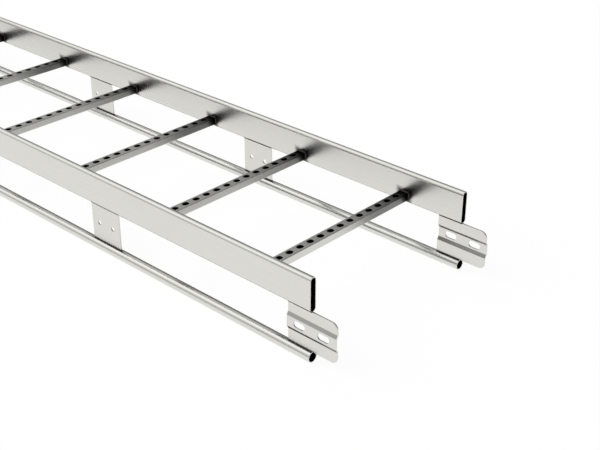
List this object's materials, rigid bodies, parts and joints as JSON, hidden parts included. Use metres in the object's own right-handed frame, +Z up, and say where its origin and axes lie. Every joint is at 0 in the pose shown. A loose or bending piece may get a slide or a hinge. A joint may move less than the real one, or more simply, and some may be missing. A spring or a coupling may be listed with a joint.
{
  "type": "cable ladder section",
  "caption": "Straight cable ladder section with flat-oval side rails, slotted rungs, a tubular lower chord on each side and a bent joint plate at one end.",
  "frame": {"origin": "Middle of the outline of the whole section, at the height of the floor under the chords.", "axes": "+X runs along the section towards the joint plates, +Y to the left of that and +Z up through the rungs."},
  "size_m": [3.051, 0.406, 0.154],
  "materials": {
    "rail_steel": "pale brushed steel tube with a fine lengthways grain",
    "chord_steel": "pale brushed steel round tube, semi-gloss",
    "rung_steel": "pale brushed steel rectangular tube, semi-matt",
    "plate_steel": "pale brushed steel sheet, cut edges slightly brighter"
  },
  "bodies": {
    "root": {"rail_right": "rail_steel", "rail_left": "rail_steel", "chord_right": "chord_steel", "chord_left": "chord_steel", "rung_1": "rung_steel", "rung_2": "rung_steel", "rung_3": "rung_steel", "rung_4": "rung_steel", "rung_5": "rung_steel", "rung_6": "rung_steel", "rung_7": "rung_steel", "rung_8": "rung_steel", "rung_9": "rung_steel", "rung_10": "rung_steel", "rung_11": "rung_steel", "rung_12": "rung_steel", "web_plate_right_1": "plate_steel", "web_plate_right_2": "plate_steel", "web_plate_right_3": "plate_steel", "web_plate_right_4": "plate_steel", "web_plate_right_5": "plate_steel", "web_plate_left_1": "plate_steel", "web_plate_left_2": "plate_steel", "web_plate_left_3": "plate_steel", "web_plate_left_4": "plate_steel", "web_plate_left_5": "plate_steel", "joint_plate_right": "plate_steel", "joint_plate_left": "plate_steel"}
  },
  "joints": []
}
